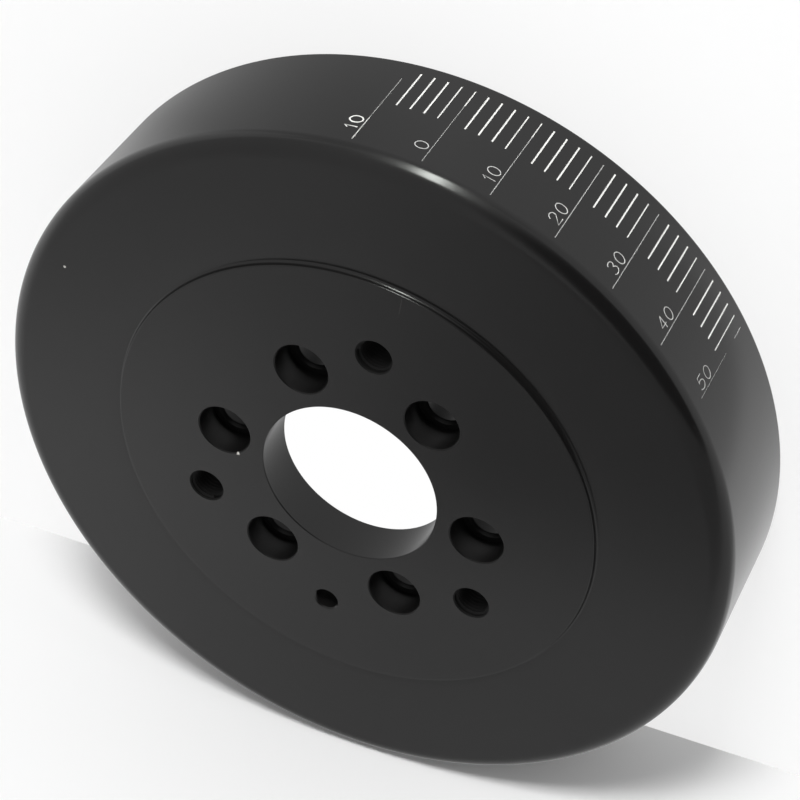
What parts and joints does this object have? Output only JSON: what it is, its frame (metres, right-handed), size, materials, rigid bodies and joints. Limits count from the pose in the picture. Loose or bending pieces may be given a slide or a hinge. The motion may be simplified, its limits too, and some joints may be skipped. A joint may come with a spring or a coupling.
{
  "type": "harmonic balancer",
  "caption": "Round black crankshaft damper with a rounded front corner, raised hub, pilot bore, counterbored bolt holes and an engraved timing scale on its rim.",
  "frame": {"origin": "centre of the flat back face, on the crank axis", "axes": "+Z along the crank axis from the back face to the front of the hub; -Y through the timing zero mark and one puller hole, +Y through the dowel hole"},
  "size_m": [0.2032, 0.2032, 0.0429],
  "materials": {
    "black_housing": "semi-gloss black coating over machined steel",
    "black_cover": "semi-gloss black coating over flat steel",
    "weld_metal": "coated weld bead",
    "ring_steel": "turned steel",
    "bearing_plastic": "natural white plastic",
    "silicone_fluid": "clear viscous fluid",
    "plug_steel": "black oxide steel"
  },
  "bodies": {
    "housing_body": {"housing": "black_housing", "cover_plate": "black_cover", "outer_weld_bead": "weld_metal", "inner_weld_bead": "weld_metal", "silicone_fluid": "silicone_fluid", "fill_plug": "plug_steel", "vent_plug": "plug_steel"},
    "inertia_body": {"inertia_ring": "ring_steel", "front_bearing_ring": "bearing_plastic", "rear_bearing_ring": "bearing_plastic"}
  },
  "joints": [
    {"name": "inertia_ring_spin", "type": "hinge", "parent": "housing_body", "child": "inertia_body", "pos_m": [0, 0, 0.0204], "axis": [0, 0, 1], "continuous": true}
  ]
}
